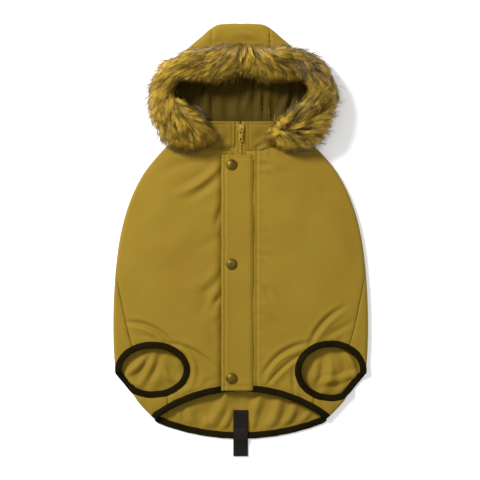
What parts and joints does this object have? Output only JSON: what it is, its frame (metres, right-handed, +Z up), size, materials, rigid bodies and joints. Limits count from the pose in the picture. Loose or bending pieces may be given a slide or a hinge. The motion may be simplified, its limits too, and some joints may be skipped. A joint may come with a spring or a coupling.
{
  "type": "dog parka",
  "caption": "Hooded dog coat with a fur-trimmed hood, a zip under a snapped flap, bound leg holes and a webbing tab at the hem, laid flat and closed.",
  "frame": {"origin": "on the surface that the coat lies on, under the middle of its bounding box", "axes": "+Y from the hem to the top of the hood, +X to the right of somebody looking down on the front, +Z up from the surface"},
  "size_m": [0.3392, 0.5763, 0.0523],
  "materials": {
    "shell_cloth": "mustard gold cotton twill with a faint sheen",
    "binding_cloth": "folded brown-black cotton binding, matt",
    "webbing": "brown-black woven tape, matt",
    "fur": "long gold faux fur with dark roots and pale tips",
    "zip_tape": "woven tape in the cloth's colour",
    "zip_teeth": "moulded teeth in the cloth's colour",
    "zip_metal": "die-cast slider lacquered in the cloth's colour",
    "aged_brass": "domed cap in antique brass"
  },
  "bodies": {
    "parka": {"back": "shell_cloth", "front_left": "shell_cloth", "front_right": "shell_cloth", "front_flap": "shell_cloth", "collar_left": "shell_cloth", "collar_right": "shell_cloth", "hood_left": "shell_cloth", "hood_centre": "shell_cloth", "hood_right": "shell_cloth", "fur_trim": "fur", "hem_binding": "binding_cloth", "armhole_binding_left": "binding_cloth", "armhole_binding_right": "binding_cloth", "hem_tab": "webbing", "zip_tape_left": "zip_tape", "zip_tape_right": "zip_tape", "zip_chain": "zip_teeth", "zip_slider": "zip_metal", "snap_cap_top": "aged_brass", "snap_cap_middle": "aged_brass", "snap_cap_bottom": "aged_brass"},
    "zip_pull": {"zip_pull": "zip_metal"}
  },
  "joints": [
    {"name": "zip_pull_hinge", "type": "hinge", "parent": "parka", "child": "zip_pull", "pos_m": [0, 0.1485, 0.01765], "axis": [-1, 0, 0], "range_deg": [0, 165]}
  ]
}
